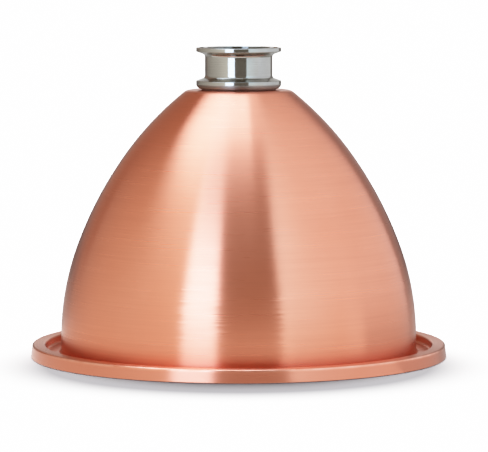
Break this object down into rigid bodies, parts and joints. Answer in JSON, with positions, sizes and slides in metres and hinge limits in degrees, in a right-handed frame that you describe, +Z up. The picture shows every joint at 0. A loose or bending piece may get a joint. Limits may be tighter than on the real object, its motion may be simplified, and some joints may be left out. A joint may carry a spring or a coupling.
{
  "type": "still dome lid",
  "caption": "Spun copper dome that closes a boiler: a channel rim sits over the boiler's edge, and a steel clamp ferrule in the crown leads the vapour on.",
  "frame": {"origin": "centre of the circle that the skirt's foot stands on, on the dome's axis", "axes": "+Z up the dome's axis, out of the ferrule; X and Y are equal, and the lock nut has two corners on the X axis"},
  "size_m": [0.314, 0.314, 0.2327],
  "materials": {
    "copper": "brushed copper, bare, circular brushing from the lathe",
    "stainless": "turned and polished stainless steel",
    "silicone_clear": "matt translucent white silicone",
    "silicone_dark": "matt dark sealing rubber"
  },
  "bodies": {
    "root": {"dome_shell": "copper", "ferrule": "stainless", "ferrule_gasket": "silicone_dark", "inner_gasket": "silicone_clear", "clamp_washer": "stainless", "lock_nut": "stainless", "rim_seal": "silicone_clear"}
  },
  "joints": []
}
